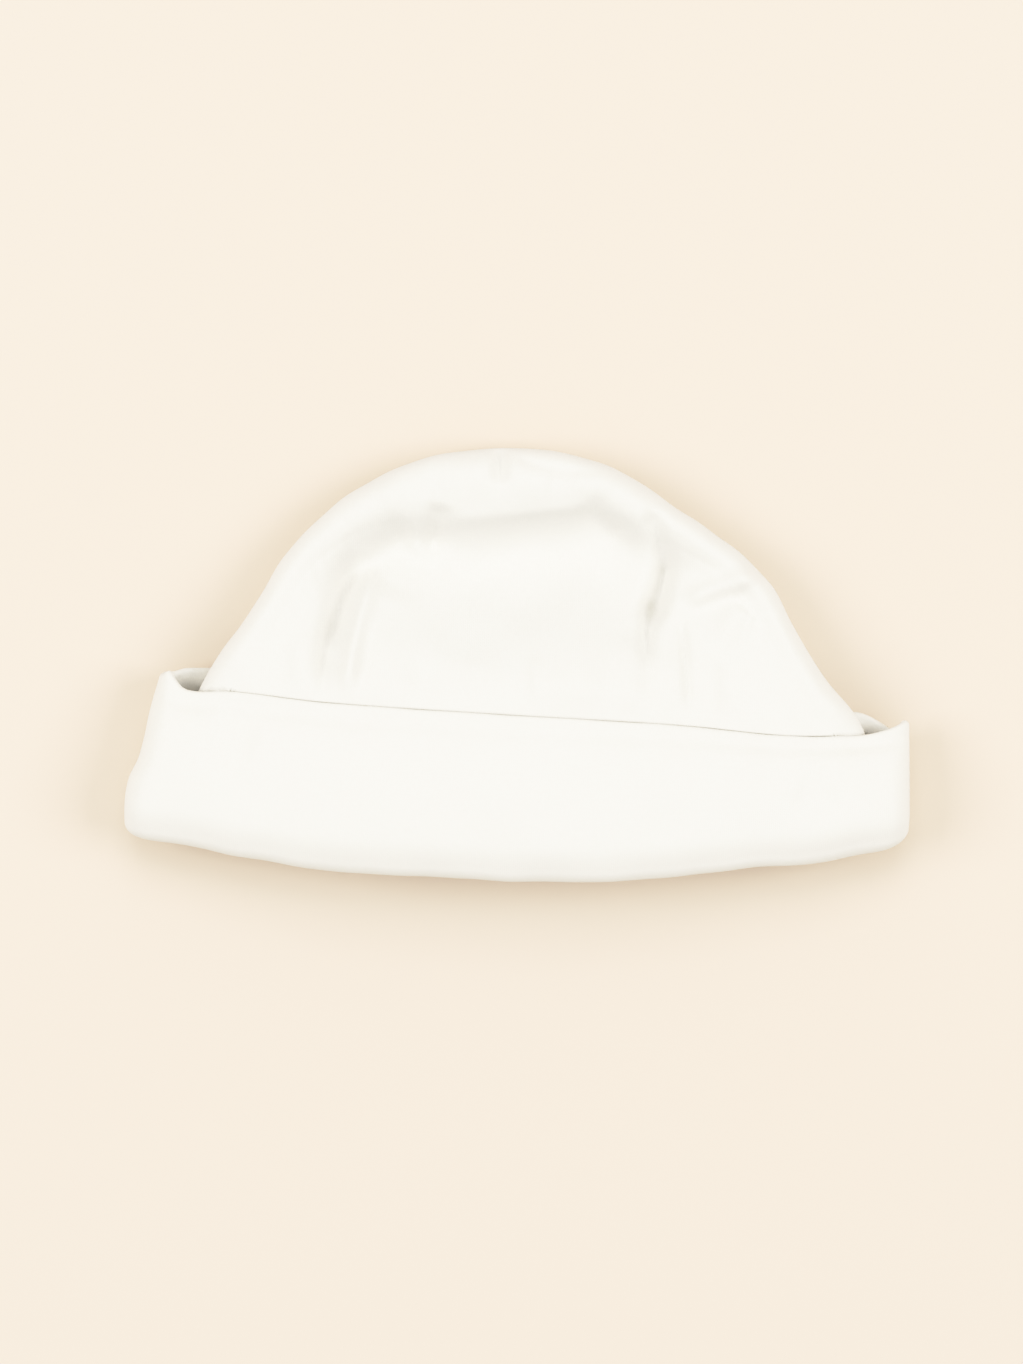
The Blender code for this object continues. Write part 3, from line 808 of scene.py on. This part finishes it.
def stitch_height(tree, flat):
    """Columns of V-shaped stitches over the flat pattern: the sine across each leg of the V, times
    the sine along the leaning course. The pattern wanders a little."""
    wander = add_node(
        tree, "ShaderNodeTexNoise", {"Vector": flat, "Scale": WANDER_PER_MM, "Detail": 2.0}
    ).outputs["Color"]
    offset = add_node(
        tree, "ShaderNodeVectorMath", {0: wander, 1: (0.5, 0.5, 0.5)}, operation="SUBTRACT"
    )
    offset = add_node(tree, "ShaderNodeVectorMath", {0: offset, "Scale": WANDER_MM}, operation="SCALE")
    place = add_node(tree, "ShaderNodeVectorMath", {0: flat, 1: offset}, operation="ADD")
    split = add_node(tree, "ShaderNodeSeparateXYZ", {0: place})
    across = add_node(tree, "ShaderNodeMath", {0: split.outputs[0], 1: WALE_MM}, operation="DIVIDE")
    along = add_node(tree, "ShaderNodeMath", {0: split.outputs[1], 1: COURSE_MM}, operation="DIVIDE")
    in_wale = add_node(tree, "ShaderNodeMath", {0: across}, operation="FRACT")
    centred = add_node(tree, "ShaderNodeMath", {0: in_wale, 1: 0.5}, operation="SUBTRACT")
    half = add_node(tree, "ShaderNodeMath", {0: centred}, operation="ABSOLUTE")
    lean = add_node(tree, "ShaderNodeMath", {0: half, 1: STITCH_LEAN}, operation="MULTIPLY")
    leaning = add_node(tree, "ShaderNodeMath", {0: along, 1: lean}, operation="ADD")
    turn = add_node(tree, "ShaderNodeMath", {0: leaning, 1: 2 * math.pi}, operation="MULTIPLY")
    wave = add_node(tree, "ShaderNodeMath", {0: turn}, operation="SINE")
    lifted = add_node(tree, "ShaderNodeMath", {0: wave, 1: 1.0}, operation="ADD")
    swing = add_node(tree, "ShaderNodeMath", {0: lifted, 1: STITCH_SHARE / 2}, operation="MULTIPLY")
    stitch = add_node(tree, "ShaderNodeMath", {0: swing, 1: 1 - STITCH_SHARE}, operation="ADD")
    leg_turn = add_node(tree, "ShaderNodeMath", {0: half, 1: 2 * math.pi}, operation="MULTIPLY")
    leg = add_node(tree, "ShaderNodeMath", {0: leg_turn}, operation="SINE")
    return add_node(tree, "ShaderNodeMath", {0: leg, 1: stitch}, operation="MULTIPLY")


def jersey_material(name):
    """Cotton jersey: the stitches and a soft fuzz as a bump over the flat pattern, with a faint
    mottling of the yarn."""
    material = bpy.data.materials.new(name)
    material.use_nodes = True
    tree = material.node_tree
    shader = tree.nodes["Principled BSDF"]
    flat = add_node(tree, "ShaderNodeUVMap", uv_map="UVMap").outputs["UV"]
    fuzz = add_node(
        tree, "ShaderNodeTexNoise", {"Vector": flat, "Scale": FUZZ_PER_MM, "Detail": 4.0}
    ).outputs["Fac"]
    fuzz = add_node(tree, "ShaderNodeMath", {0: fuzz, 1: FUZZ_SHARE}, operation="MULTIPLY")
    height = add_node(
        tree, "ShaderNodeMath", {0: stitch_height(tree, flat), 1: fuzz}, operation="ADD"
    )
    relief = {"Height": height, "Strength": STITCH_STRENGTH, "Distance": STITCH_RELIEF_MM * 1e-3}
    bump = add_node(tree, "ShaderNodeBump", relief)
    tree.links.new(bump.outputs["Normal"], shader.inputs["Normal"])
    mottle = add_node(
        tree, "ShaderNodeTexNoise", {"Vector": flat, "Scale": MOTTLE_PER_MM, "Detail": 5.0}
    ).outputs["Fac"]
    ramp = add_node(tree, "ShaderNodeValToRGB", {"Fac": mottle})
    tone = linear(JERSEY_COLOUR)
    dark, light = ramp.color_ramp.elements
    dark.position, light.position = MOTTLE_RANGE
    dark.color = [MOTTLE_DARKEST * value for value in tone[:3]] + [1.0]
    light.color = tone
    tree.links.new(ramp.outputs["Color"], shader.inputs["Base Color"])
    shader.inputs["Roughness"].default_value = JERSEY_ROUGHNESS
    shader.inputs["Specular IOR Level"].default_value = JERSEY_SPECULAR
    shader.inputs["Sheen Weight"].default_value = JERSEY_SHEEN
    shader.inputs["Sheen Roughness"].default_value = JERSEY_SHEEN_ROUGHNESS
    return material


# Matt card, painted in a pale cream: an even surface without gloss or grain
FLOOR_COLOUR = "#dccbba"
FLOOR_ROUGHNESS = 0.9
FLOOR_SPECULAR = 0.1
FLOOR_HALF_SIDE = 3.0


def card_material():
    """Matt painted card in one colour."""
    material = bpy.data.materials.new("matt_cream_card")
    material.use_nodes = True
    shader = material.node_tree.nodes["Principled BSDF"]
    shader.inputs["Base Color"].default_value = linear(FLOOR_COLOUR)
    shader.inputs["Roughness"].default_value = FLOOR_ROUGHNESS
    shader.inputs["Specular IOR Level"].default_value = FLOOR_SPECULAR
    return material


def build_cloth():
    """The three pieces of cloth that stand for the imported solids."""
    jersey = jersey_material("cotton_jersey")
    doubled = jersey_material("doubled_cotton_jersey")
    front, front_flat = panel_points(SEAM_STEPS, FRONT_STEPS, CROWN_ROLL, False)
    back, back_flat = panel_points(BACK_SEAM_STEPS, BACK_STEPS, BACK_ROLL, True)
    band, band_flat = band_points()
    cloth_piece(
        "crown_front_cloth",
        front,
        front_flat,
        False,
        JERSEY_WALL,
        jersey,
        ["crown_front"],
    )
    cloth_piece(
        "crown_back_cloth",
        back[:, ::-1],
        back_flat[:, ::-1],
        False,
        JERSEY_WALL,
        jersey,
        ["crown_back"],
    )
    cloth_piece(
        "turn_up_cloth",
        band,
        band_flat,
        True,
        BAND_WALL,
        doubled,
        ["turn_up"],
    )


def build_floor():
    """The pale surface under the cap."""
    side = FLOOR_HALF_SIDE
    corners = [(-side, -side, 0), (side, -side, 0), (side, side, 0), (-side, side, 0)]
    mesh = bpy.data.meshes.new("floor")
    mesh.from_pydata(corners, [], [(0, 1, 2, 3)])
    mesh.materials.append(card_material())
    floor = bpy.data.objects.new("floor", mesh)
    bpy.context.scene.collection.objects.link(floor)


# A pale warm room, in linear light
ROOM_COLOUR = (1.0, 0.98, 0.90, 1.0)
ROOM_STRENGTH = 0.78

# The soft square lights, which look at the cap. Columns: place and side (m), watts.
LIGHTS = [
    (0.00, 0.65, 1.05, 0.6, 3.8),
    (-0.85, 0.02, 0.85, 0.6, 8.2),
    (0.85, 0.02, 0.85, 0.6, 8.2),
]


def build_light():
    """The room's even light and the soft lights."""
    scene = bpy.context.scene
    world = bpy.data.worlds.new("soft_room")
    world.use_nodes = True
    background = world.node_tree.nodes["Background"]
    background.inputs["Color"].default_value = ROOM_COLOUR
    background.inputs["Strength"].default_value = ROOM_STRENGTH
    scene.world = world
    for number, (x, y, z, side, watts) in enumerate(LIGHTS):
        data = bpy.data.lights.new(f"softbox_{number}", "AREA")
        data.shape = "SQUARE"
        data.size = side
        data.energy = watts
        lamp = bpy.data.objects.new(f"softbox_{number}", data)
        scene.collection.objects.link(lamp)
        lamp.location = (x, y, z)
        lamp.rotation_euler = (math.atan2(math.hypot(x, y), z), 0, math.atan2(y, x) + math.pi / 2)


# The photograph: places in its own pixels, and the scale worked out from the turn-up's width
PHOTO_HEIGHT_PX = 1364
PHOTO_CENTRE_PX = (511.5, 682.0)
ORIGIN_PX = (517.0, 663.55)
MM_PER_PX = 0.21656
LENS_MM = 85.0
SENSOR_MM = 36.0
NEAR_CLIP = 0.01
OUTLINE_HEIGHT = 0.010

# The camera's response to light: straight in the darks, with a soft shoulder below white.
# Columns: light, shown value (both linear).
RESPONSE = [
    (0.00, 0.000),
    (0.45, 0.450),
    (0.75, 0.715),
    (1.00, 0.852),
    (1.25, 0.945),
    (1.60, 1.000),
]


def build_camera():
    """The camera straight over the cap, as far off as makes the photograph's scale at the height of
    the cap's outline."""
    scene = bpy.context.scene
    frame_height = PHOTO_HEIGHT_PX * MM_PER_PX * 1e-3
    centre = (
        (PHOTO_CENTRE_PX[0] - ORIGIN_PX[0]) * MM_PER_PX * 1e-3,
        (ORIGIN_PX[1] - PHOTO_CENTRE_PX[1]) * MM_PER_PX * 1e-3,
    )
    data = bpy.data.cameras.new("overhead")
    data.sensor_fit = "AUTO"
    data.sensor_width = SENSOR_MM
    data.lens = LENS_MM
    data.clip_start = NEAR_CLIP
    camera = bpy.data.objects.new("overhead", data)
    scene.collection.objects.link(camera)
    camera.location = (*centre, OUTLINE_HEIGHT + frame_height * LENS_MM / SENSOR_MM)
    scene.camera = camera


def set_response():
    """Standard colours with the response curve of an amply exposed photograph."""
    view = bpy.context.scene.view_settings
    view.view_transform = "Standard"
    view.use_curve_mapping = True
    mapping = view.curve_mapping
    mapping.clip_max_x = RESPONSE[-1][0]
    points = mapping.curves[3].points
    points[0].location = RESPONSE[0]
    points[1].location = RESPONSE[-1]
    for place in RESPONSE[1:-1]:
        points.new(*place)
    mapping.update()


build_cloth()
build_floor()
build_light()
build_camera()
set_response()
